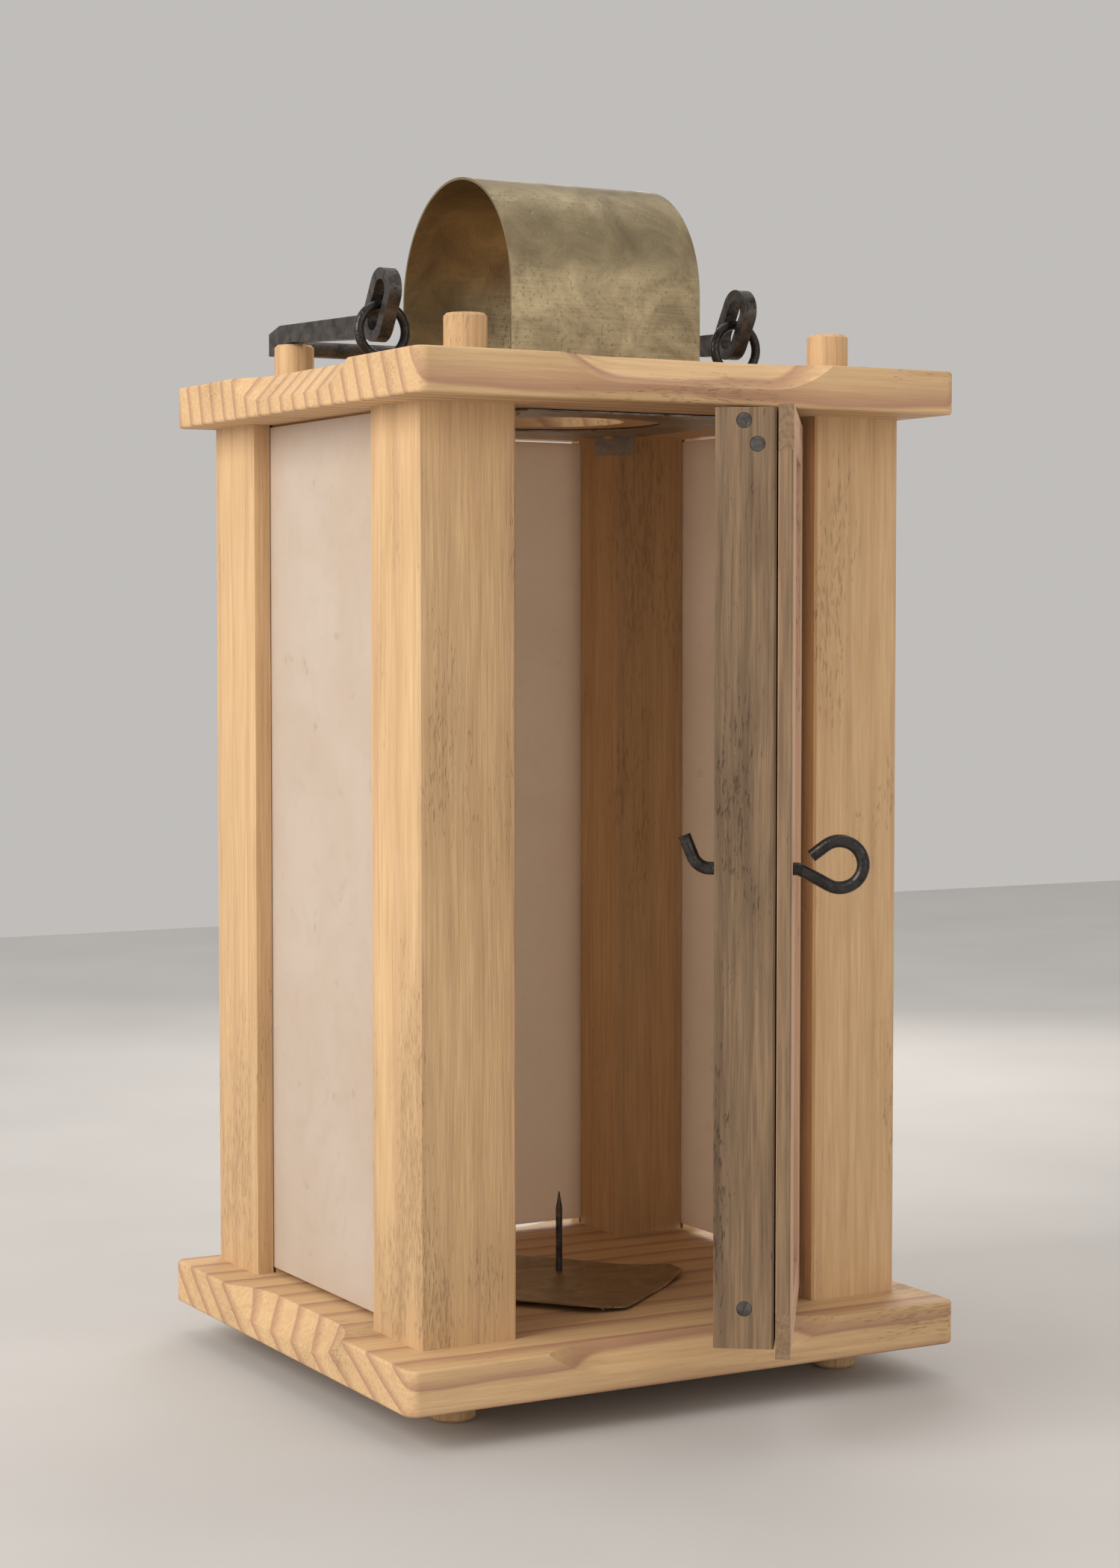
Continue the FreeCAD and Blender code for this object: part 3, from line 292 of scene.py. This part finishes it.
def make_timber(name, grain, pale, dark, line, seed, spin=0.0, ring_scale=39.0, wear=0.25,
                fleck_strength=0.3, ring_strength=0.45, bump_depth=0.0006, edge=None):
    """A timber whose grain runs along x or z, on a piece that stands turned by spin."""
    material, tree, shader, coords = start(name)
    unspun = node(tree, "Mapping", {0: coords, "Rotation": (0.0, 0.0, -spin)}).outputs[0]
    along = node(tree, "Mapping", {0: unspun, "Rotation": GRAIN_TURNS[grain]}).outputs[0]
    out = node(tree, "Group", {"Vector": along, "Seed": seed, "Ring scale": ring_scale},
               node_tree=timber).outputs
    late_wood = grey(tree, out["Rings"], (0.55, 0.0), (0.92, ring_strength), (0.99, 0.0))
    streaks = grey(tree, out["Fibre"], (0.30, 0.0), (0.72, 1.0))
    worn = grey(tree, out["Mottle"], (0.42, 0.0), (0.70, wear))
    torn_out = maths(tree, "MULTIPLY", out["Fleck"], fleck_strength)
    colour = mixed(tree, streaks, pale, dark)
    colour = mixed(tree, late_wood, colour, line)
    colour = mixed(tree, worn, colour, shaded(dark, WORN_SHADE))
    colour = mixed(tree, torn_out, colour, shaded(dark, TORN_SHADE))
    if edge:
        across = node(tree, "SeparateXYZ", {0: unspun}).outputs["X"]
        aged = mixed(tree, streaks, edge["pale"], edge["dark"])
        colour = mixed(tree, rise(tree, across, edge["from"], edge["to"]), colour, aged)
    tree.links.new(colour, shader.inputs["Base Color"])
    tree.links.new(grey(tree, out["Fibre"], (0.2, 0.48), (0.8, 0.72)), shader.inputs["Roughness"])
    shader.inputs["Specular IOR Level"].default_value = TIMBER_SHEEN
    relief_bump(tree, shader, out["Height"], bump_depth, TIMBER_RELIEF)
    return material


print("timber maker ready")

# %% [markdown]
# ## The pine frame
# Boards and posts are pale pine, planed and left bare. The boards show their rings strongly and
# the posts are quieter. Dowels are small, so their rings are drawn closer together. Each piece has a seed of its own, because no two sticks come from
# the same place in a tree.

# %% Pine frame
PINE = {"pale": (0.72, 0.49, 0.265), "dark": (0.55, 0.345, 0.17), "line": (0.40, 0.205, 0.13)}
DOWEL = {"ring_scale": 150.0, "wear": 0.5, **PINE}
timbers = {
    "base_board": make_timber("pine_base", "x", seed=1.3, ring_strength=0.85, **PINE),
    "top_board": make_timber("pine_top", "x", seed=4.1, ring_strength=0.85, **PINE),
    "post_front_left": make_timber("pine_post_a", "z", seed=2.2, ring_strength=0.25, wear=0.4, **PINE),
    "post_front_right": make_timber("pine_post_b", "z", seed=5.7, ring_strength=0.2, wear=0.2, **PINE),
    "post_rear_left": make_timber("pine_post_c", "z", seed=7.4, ring_strength=0.25, wear=0.3, **PINE),
    "post_rear_right": make_timber("pine_post_d", "z", seed=9.9, ring_strength=0.2, wear=0.2, **PINE),
    "top_dowels": make_timber("pine_dowels", "z", seed=3.3, **DOWEL),
    "foot_dowels": make_timber("pine_feet", "z", seed=6.1, **DOWEL),
}
print("pine pieces:", len(timbers))

# %% [markdown]
# ## The door's inner frame
# The free edge of the door is handled each time a candle is lit, and it has gone grey brown.
# Its grain is rougher and its flecks are deeper than the pine's. The door stands half open in
# the frame, so its rails have their coordinates turned back before the grain is laid.

# %% Aged door frame
DOOR_SPIN = math.radians(55)  # how far the door stands open in the frame
AGED = {"pale": (0.30, 0.195, 0.11), "dark": (0.15, 0.092, 0.05), "line": (0.08, 0.05, 0.028)}
AGED_RAIL = {"spin": DOOR_SPIN, "wear": 0.5, **AGED}
timbers.update({
    "door_stile_latch": make_timber("aged_stile", "z", seed=2.9, wear=0.7, fleck_strength=0.7,
                                    ring_scale=70.0, bump_depth=0.0012, **AGED),
    "door_stile_hinge": make_timber("aged_hinge_stile", "z", seed=8.8, wear=0.5,
                                    bump_depth=0.0009, **AGED),
    "door_rail_top": make_timber("aged_rail_top", "x", seed=4.6, **AGED_RAIL),
    "door_rail_bottom": make_timber("aged_rail_bottom", "x", seed=7.7, **AGED_RAIL),
})
print("pine and aged pieces:", len(timbers))

# %% [markdown]
# ## The door's face strips
# Thin strips of a rosier wood are nailed over the inner frame and hold the pane. Their outer
# face is clean and their sawn free edge is as brown as the frame behind it. Cutting the strips
# in two for that would give a joint that the real door doesn't have, so a mask across the door
# changes the colour instead.

# %% Rosy face strips
ROSY = {"pale": (0.66, 0.43, 0.29), "dark": (0.52, 0.32, 0.20), "line": (0.42, 0.23, 0.15)}
# The free edge's x, once the coordinates are turned back by the door's opening.
FREE_EDGE = {"from": -0.0868, "to": -0.0872, "pale": AGED["pale"], "dark": AGED["dark"]}
ROSY_EDGED = {"spin": DOOR_SPIN, "edge": FREE_EDGE, **ROSY}
timbers.update({
    "door_face_stile_latch": make_timber("rosy_stile", "z", seed=1.9, ring_strength=0.2, **ROSY_EDGED),
    "door_face_stile_hinge": make_timber("rosy_hinge_stile", "z", seed=5.1, ring_strength=0.2, **ROSY),
    "door_face_rail_top": make_timber("rosy_rail_top", "x", seed=3.8, **ROSY_EDGED),
    "door_face_rail_bottom": make_timber("rosy_rail_bottom", "x", seed=6.6, **ROSY_EDGED),
})
print("timbers:", len(timbers))

# %% [markdown]
# ## Metal materials
# Every metal here is a clean colour that a dull one covers in clouds, with dark specks on top.
# Clouds and scratches together decide how rough it is, so that worn places shine and dull ones
# don't. Brass, tin, iron and steel differ only in colours, roughness and scale.

# %% Metal maker
SPECK_SHADE, METAL_RELIEF = 0.4, 0.35


def make_metal(name, clean, dull, rough, scale=60.0, metallic=1.0, bump_depth=0.0004, speckle=0.45):
    """A metal from clean to dull. rough holds its lowest and its highest roughness."""
    material, tree, shader, coords = start(name)
    out = node(tree, "Group", {"Vector": coords, "Scale": scale}, node_tree=patina).outputs
    dulling = grey(tree, out["Cloud"], (0.38, 0.0), (0.66, 1.0))
    specks = grey(tree, out["Speck"], (0.0, 0.0), (1.0, speckle))
    colour = mixed(tree, dulling, clean, dull)
    colour = mixed(tree, specks, colour, shaded(dull, SPECK_SHADE))
    tree.links.new(colour, shader.inputs["Base Color"])
    handled = maths(tree, "MULTIPLY", out["Cloud"], out["Scratch"])
    lowest, highest = rough
    tree.links.new(grey(tree, handled, (0.10, lowest), (0.42, highest)), shader.inputs["Roughness"])
    shader.inputs["Metallic"].default_value = metallic
    relief_bump(tree, shader, out["Height"], bump_depth, METAL_RELIEF)
    return material


print("metal maker ready")

# %% [markdown]
# ## Parchment material
# A parchment pane lets candlelight through and softens it. Glass-like transmission would show
# the posts behind it sharply, so a translucent shader is mixed with the surface one. It has a
# single plain colour, since the clouds and specks are already on the surface.

# %% Parchment maker
VEIN_SHADE, SPECK_BROWN = 0.85, (0.42, 0.27, 0.15)
PARCHMENT_ROUGHNESS, PARCHMENT_DEPTH, PARCHMENT_RELIEF = 0.62, 0.0003, 0.3


def make_parchment(name, pale, warm, glow_colour, through):
    """A thin sheet that passes the given share of the light in the glow colour."""
    material, tree, shader, coords = start(name)
    out = node(tree, "Group", {"Vector": coords}, node_tree=skin).outputs
    clouds = grey(tree, out["Cloud"], (0.38, 0.0), (0.68, 1.0))
    veins = grey(tree, out["Vein"], (0.50, 0.0), (0.75, 0.30))
    specks = grey(tree, out["Speck"], (0.0, 0.0), (1.0, 0.3))
    colour = mixed(tree, clouds, pale, warm)
    colour = mixed(tree, veins, colour, shaded(warm, VEIN_SHADE))
    colour = mixed(tree, specks, colour, SPECK_BROWN)
    tree.links.new(colour, shader.inputs["Base Color"])
    shader.inputs["Roughness"].default_value = PARCHMENT_ROUGHNESS
    relief_bump(tree, shader, out["Height"], PARCHMENT_DEPTH, PARCHMENT_RELIEF)
    glow = node(tree, "BsdfTranslucent", {"Color": (*glow_colour, 1.0)}).outputs[0]
    both = node(tree, "MixShader", {0: through, 1: shader.outputs[0], 2: glow}).outputs[0]
    tree.links.new(both, tree.nodes["Material Output"].inputs["Surface"])
    return material


parchment = make_parchment("parchment", pale=(0.86, 0.765, 0.67), warm=(0.80, 0.675, 0.55),
                           glow_colour=(0.83, 0.72, 0.61), through=0.5)
print("made:", parchment.name)

# %% [markdown]
# ## Brass and tin
# The hood is sheet brass that heat has dulled. The tray was never polished and is less
# metallic, and the small tacks kept some of their yellow. The shield below the top board
# reads as grey tinned sheet.

# %% Brass and tin finishes
brass = make_metal("brass_hood", (0.43, 0.345, 0.205), (0.25, 0.20, 0.12), (0.32, 0.52),
                   bump_depth=0.0002, speckle=0.12)
tray_brass = make_metal("brass_tray", (0.40, 0.31, 0.185), (0.27, 0.20, 0.12), (0.38, 0.60),
                        scale=90.0, metallic=0.8, speckle=0.2)
tack_brass = make_metal("brass_tack", (0.60, 0.44, 0.20), (0.34, 0.24, 0.12), (0.28, 0.50),
                        scale=300.0)
tin = make_metal("tin_shield", (0.42, 0.42, 0.41), (0.22, 0.21, 0.20), (0.24, 0.46))
print("sheet metals:", [metal.name for metal in (brass, tray_brass, tack_brass, tin)])

# %% [markdown]
# ## Iron and steel
# The latch and the bail's eyes are black from the forge. The bail has been handled more and
# shows through in browner grey. It has the deepest relief of the metals, for its hammered bar.
# Nails and pins are plain grey steel.

# %% Iron and steel finishes
iron = make_metal("black_iron", (0.055, 0.050, 0.046), (0.018, 0.017, 0.017), (0.18, 0.42),
                  scale=240.0, metallic=0.75)
bail_iron = make_metal("worn_iron", (0.13, 0.115, 0.105), (0.035, 0.032, 0.030), (0.26, 0.52),
                       scale=180.0, metallic=0.85, bump_depth=0.0012)
steel = make_metal("nail_steel", (0.17, 0.158, 0.15), (0.08, 0.07, 0.066), (0.34, 0.58), scale=420.0)
print("ferrous metals:", [metal.name for metal in (iron, bail_iron, steel)])

# %% [markdown]
# ## Dressing the nodes
# Every node of the frame gets its finish by name, in whatever material places its mesh has.
# The nodes themselves stay as they are, and a node without a finish would be listed.

# %% Dress every node
finishes = dict(timbers)
for finish, names in (
        (parchment, ("pane_left", "pane_right", "pane_rear", "door_pane")),
        (brass, ("heat_hood",)),
        (tray_brass, ("candle_tray",)),
        (tack_brass, ("hood_tacks", "tray_tacks", "shield_tacks")),
        (tin, ("heat_shield",)),
        (iron, ("bail_eye_left", "bail_eye_right", "latch_wire")),
        (bail_iron, ("bail",)),
        (steel, ("door_nails", "candle_spike", "hinge_pin_top", "hinge_pin_bottom"))):
    finishes.update(dict.fromkeys(names, finish))

for name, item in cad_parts.items():
    for place in range(max(1, len(item.data.materials))):
        if len(item.data.materials) <= place:
            item.data.materials.append(finishes[name])
        else:
            item.data.materials[place] = finishes[name]
print("dressed:", len(finishes), "missing:", sorted(set(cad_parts) - set(finishes)))

# %% [markdown]
# ## The curled tray
# The tray is thin brass sheet, cut square with its corners off and tacked down. It has lifted
# along its front left edge and at its right corner. A solid modeller is poor at such gentle
# bends, so the tray in the solids is flat. Here a fine grid is cut to the same outline, bent
# by a formula, and then stands for that node.

# %% Find the flat tray
CORNERS_OF_A_BOX = 8
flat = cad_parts["candle_tray"]
corners = [flat.matrix_world @ Vector(corner) for corner in flat.bound_box]
centre = sum(corners, Vector()) / CORNERS_OF_A_BOX
sheet_foot = min(corner.z for corner in corners)
print("flat tray foot at mm:", round(1000 * sheet_foot, 2))

# %% [markdown]
# The lift grows with the square of the distance past the place where the bend begins, as a
# springy sheet does. A small ripple, stronger towards the rim, keeps it from looking pressed.

# %% Lift of the sheet
HALF = 0.032  # half the side of the tray's square
CLEARANCE = 0.0001  # between the board and the sheet where it lies flat
EDGE_BEGIN, EDGE_RISE = 0.35, 0.0042
CORNER_BEGIN, CORNER_RISE = 0.55, 0.014
RIPPLE, RIPPLES_ACROSS, RIPPLES_ALONG = 0.00025, 210, 90


def tray_lift(across, along):
    """Height of the curled sheet above the board at a place in the tray's own square."""
    front_left = max(0.0, (-across / HALF - EDGE_BEGIN)) ** 2 * EDGE_RISE
    right = max(0.0, (across - along) / (2 * HALF) - CORNER_BEGIN) ** 2 * CORNER_RISE
    wave = 1 + math.sin(across * RIPPLES_ACROSS + along * RIPPLES_ALONG)
    ripple = RIPPLE * wave * (abs(across) + abs(along)) / (2 * HALF)
    return CLEARANCE + front_left + right + ripple


print("lift at the right corner, mm:", round(1000 * tray_lift(HALF, -HALF), 2))

# %% [markdown]
# The grid covers the whole square. Points that lie past a cut corner are moved straight back
# onto the cut, so the outline comes out the same as the flat tray's.

# %% Bend the sheet
TURN = math.radians(39.1)  # how the tray lies on the board
CUT = 0.0074  # how much of each side a cut corner takes
STEPS = 48

points, faces = [], []
for row in range(STEPS + 1):
    for column in range(STEPS + 1):
        across, along = (2 * column / STEPS - 1) * HALF, (2 * row / STEPS - 1) * HALF
        over = max(0.0, abs(across) + abs(along) - (2 * HALF - CUT)) / 2
        across -= math.copysign(over, across)
        along -= math.copysign(over, along)
        x = centre.x + across * math.cos(TURN) - along * math.sin(TURN)
        y = centre.y + across * math.sin(TURN) + along * math.cos(TURN)
        points.append((x, y, sheet_foot + tray_lift(across, along)))
for row in range(STEPS):
    for column in range(STEPS):
        first = row * (STEPS + 1) + column
        faces.append((first, first + 1, first + STEPS + 2, first + STEPS + 1))
print("sheet points:", len(points))

# %% [markdown]
# A Solidify modifier gives the bent sheet its thickness, upwards from the surface that was
# made. The sheet then takes the flat tray's place, on the same body and in the same slot.

# %% Stand in for the flat tray
SHEET = 0.0005  # thickness
mesh = bpy.data.meshes.new("tray_sheet")
mesh.from_pydata(points, [], faces)
mesh.shade_smooth()
mesh.materials.append(tray_brass)
curled = bpy.data.objects.new("tray_sheet", mesh)
bpy.context.collection.objects.link(curled)
thick = curled.modifiers.new("thickness", "SOLIDIFY")
thick.thickness = SHEET
thick.offset = 1.0
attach(curled, "frame")
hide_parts("candle_tray")
print("tray lifts by up to mm:",
      round(1000 * (max(point[2] for point in points) - sheet_foot), 2))

# %% [markdown]
# ## Studio floor
# A pale floor keeps the lantern's shadow and throws a little warm light up under the boards.
# Its colour is well below white, so that the lamps don't clip it.

# %% Floor
FLOOR_SIZE, FLOOR_DROP = 2.6, 0.0002  # the drop keeps the feet clear of the plane
bpy.ops.mesh.primitive_plane_add(size=FLOOR_SIZE, location=(0.0, 0.0, -FLOOR_DROP))
floor = bpy.context.object
floor.name = "studio_floor"
ground, tree, shader, coords = start("studio_ground")
clouds = noise(tree, coords, Scale=8.0, Detail=3.0)
floor_colour = ramp(tree, clouds, (0.3, (0.50, 0.485, 0.47)), (0.7, (0.54, 0.525, 0.51)))
tree.links.new(floor_colour, shader.inputs["Base Color"])
shader.inputs["Roughness"].default_value = 0.8
floor.data.materials.append(ground)
print("floor is", FLOOR_SIZE, "m wide")

# %% [markdown]
# ## Backdrop
# The background should look pale without lighting the lantern any more than the lamps do. So
# the world has two colours: one that only the camera, reflections and transmitted rays see, and
# one that gives the even light of a room.

# %% Backdrop
world = bpy.data.worlds.new("studio")
bpy.context.scene.world = world
world.use_nodes = True
tree = world.node_tree
tree.nodes.clear()
rays = node(tree, "LightPath").outputs
seen = maths(tree, "MAXIMUM", rays["Is Camera Ray"], rays["Is Glossy Ray"])
seen = maths(tree, "MAXIMUM", seen, rays["Is Transmission Ray"])
ambient = node(tree, "Background", {"Color": (0.95, 0.93, 0.90, 1.0), "Strength": 0.72}).outputs[0]
backdrop = node(tree, "Background", {"Color": (0.62, 0.60, 0.58, 1.0), "Strength": 0.85}).outputs[0]
both = node(tree, "MixShader", {0: seen, 1: ambient, 2: backdrop}).outputs[0]
tree.links.new(both, node(tree, "OutputWorld").inputs["Surface"])
print("backdrop nodes:", len(tree.nodes))

# %% [markdown]
# ## Lamps
# A broad key lamp from the left shapes the posts. A weak fill from the front opens the inside,
# a lamp above lights the boards, and a small one behind glows through the panes. Wide lamps
# give the soft shadows of a window.

# %% Lamps
MIDDLE = (0.0, 0.0, 0.16)  # the point that every lamp is aimed at


def lamp(name, place, width, power, colour):
    """A square lamp of the given width and watts, aimed at the middle of the lantern."""
    data = bpy.data.lights.new(name, "AREA")
    data.size = width
    data.energy = power
    data.color = colour
    item = bpy.data.objects.new(name, data)
    bpy.context.collection.objects.link(item)
    item.location = place
    item.rotation_euler = (Vector(MIDDLE) - Vector(place)).to_track_quat("-Z", "Y").to_euler()


lamp("key", (-1.25, -0.15, 0.75), 0.9, 15.0, (1.0, 0.96, 0.91))
lamp("fill", (0.35, -1.35, 0.45), 1.2, 4.0, (1.0, 0.94, 0.90))
lamp("above", (0.1, 0.3, 1.5), 1.0, 3.5, (1.0, 0.98, 0.95))
lamp("behind", (0.45, 0.62, 0.40), 0.4, 1.6, (1.0, 0.93, 0.86))

# %% [markdown]
# ## Camera
# The lens and place were fitted to the edges of the lantern in the photograph, so that the
# render can be laid over it. The Standard view shows colours about as they are written.

# %% Camera
lens = bpy.data.cameras.new("photo_camera")
lens.sensor_width = 36.0
lens.lens = 69.3
lens.clip_start = 0.02
camera = bpy.data.objects.new("photo_camera", lens)
bpy.context.collection.objects.link(camera)
camera.location = (-0.436, -0.7603, 0.2184)
camera.rotation_euler = (math.radians(87.07), 0.0, math.radians(-29.03))
bpy.context.scene.camera = camera
bpy.context.scene.view_settings.view_transform = "Standard"
print("camera at:", tuple(round(value, 4) for value in camera.location))
